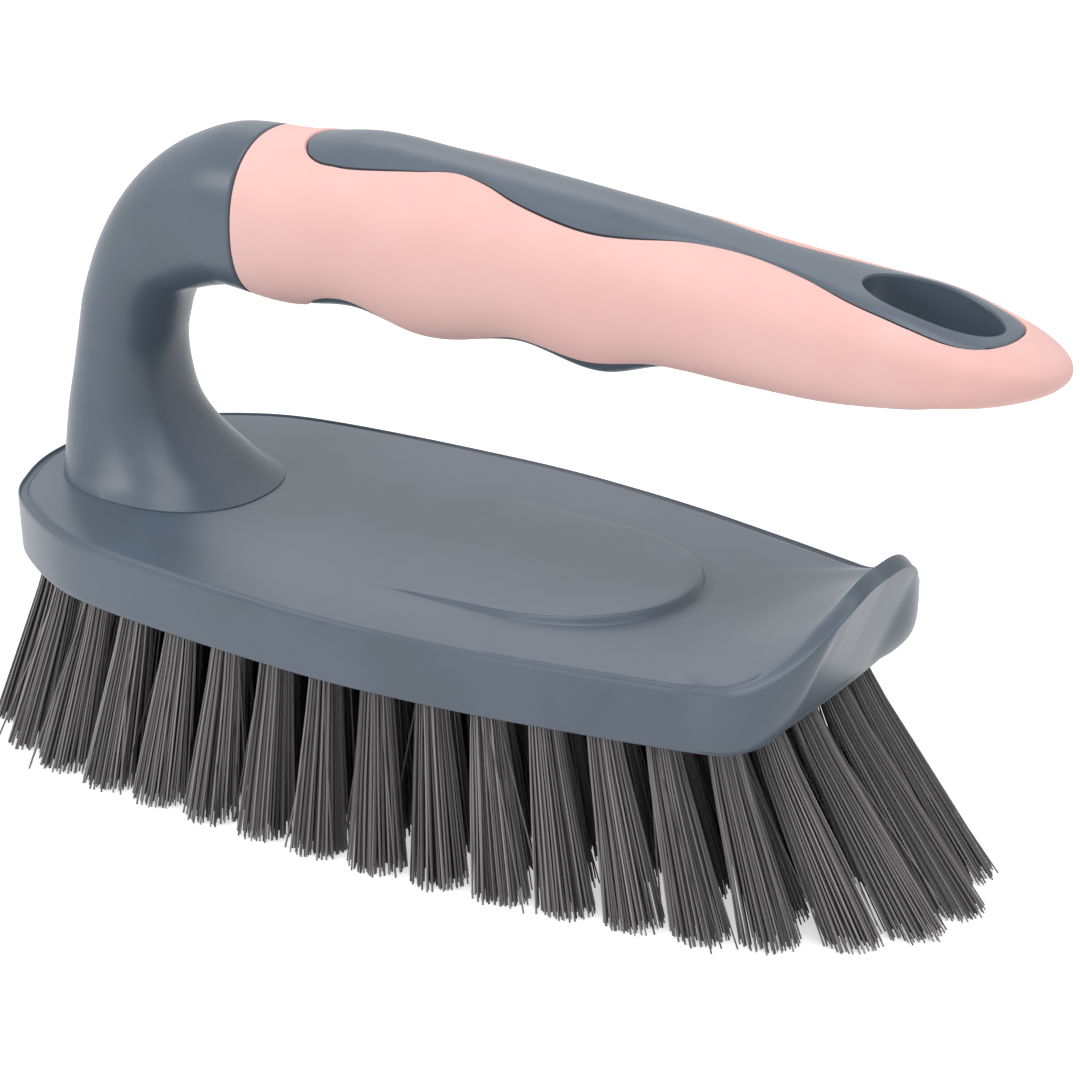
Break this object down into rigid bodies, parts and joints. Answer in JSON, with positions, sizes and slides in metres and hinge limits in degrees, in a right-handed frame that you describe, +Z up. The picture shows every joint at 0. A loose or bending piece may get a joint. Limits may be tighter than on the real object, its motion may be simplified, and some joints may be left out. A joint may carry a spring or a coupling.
{
  "type": "cleaning brush",
  "caption": "Hand scrubbing brush: oblong plastic block with an upturned nose, arched handle with a soft grip and a hanging hole, and long splayed bristles.",
  "frame": {"origin": "at the tip of the middle tuft's middle bristle, in the plane that every bristle tip touches, midway along the block", "axes": "+X along the block, towards the upturned nose and the free end of the handle; +Y across the block; +Z up, from the bristle tips to the handle"},
  "size_m": [0.1984, 0.0766, 0.1133],
  "materials": {
    "slate_polypropylene": "satin moulded polypropylene",
    "pink_elastomer": "soft satin thermoplastic elastomer",
    "grey_filament": "stiff extruded bristle filament"
  },
  "bodies": {
    "root": {"brush_block": "slate_polypropylene", "handle_arm": "slate_polypropylene", "grip_sleeve": "pink_elastomer", "tuft_01": "grey_filament", "tuft_02": "grey_filament", "tuft_03": "grey_filament", "tuft_04": "grey_filament", "tuft_05": "grey_filament", "tuft_06": "grey_filament", "tuft_07": "grey_filament", "tuft_08": "grey_filament", "tuft_09": "grey_filament", "tuft_10": "grey_filament", "tuft_11": "grey_filament", "tuft_12": "grey_filament", "tuft_13": "grey_filament", "tuft_14": "grey_filament", "tuft_15": "grey_filament", "tuft_16": "grey_filament", "tuft_17": "grey_filament", "tuft_18": "grey_filament", "tuft_19": "grey_filament", "tuft_20": "grey_filament", "tuft_21": "grey_filament", "tuft_22": "grey_filament", "tuft_23": "grey_filament", "tuft_24": "grey_filament", "tuft_25": "grey_filament", "tuft_26": "grey_filament", "tuft_27": "grey_filament", "tuft_28": "grey_filament", "tuft_29": "grey_filament", "tuft_30": "grey_filament", "tuft_31": "grey_filament", "tuft_32": "grey_filament", "tuft_33": "grey_filament", "tuft_34": "grey_filament", "tuft_35": "grey_filament", "tuft_36": "grey_filament", "tuft_37": "grey_filament", "tuft_38": "grey_filament", "tuft_39": "grey_filament", "tuft_40": "grey_filament", "tuft_41": "grey_filament", "tuft_42": "grey_filament", "tuft_43": "grey_filament", "tuft_44": "grey_filament", "tuft_45": "grey_filament", "tuft_46": "grey_filament", "tuft_47": "grey_filament", "tuft_48": "grey_filament", "tuft_49": "grey_filament", "tuft_50": "grey_filament", "tuft_51": "grey_filament", "tuft_52": "grey_filament", "tuft_53": "grey_filament", "tuft_54": "grey_filament", "tuft_55": "grey_filament", "tuft_56": "grey_filament"}
  },
  "joints": []
}
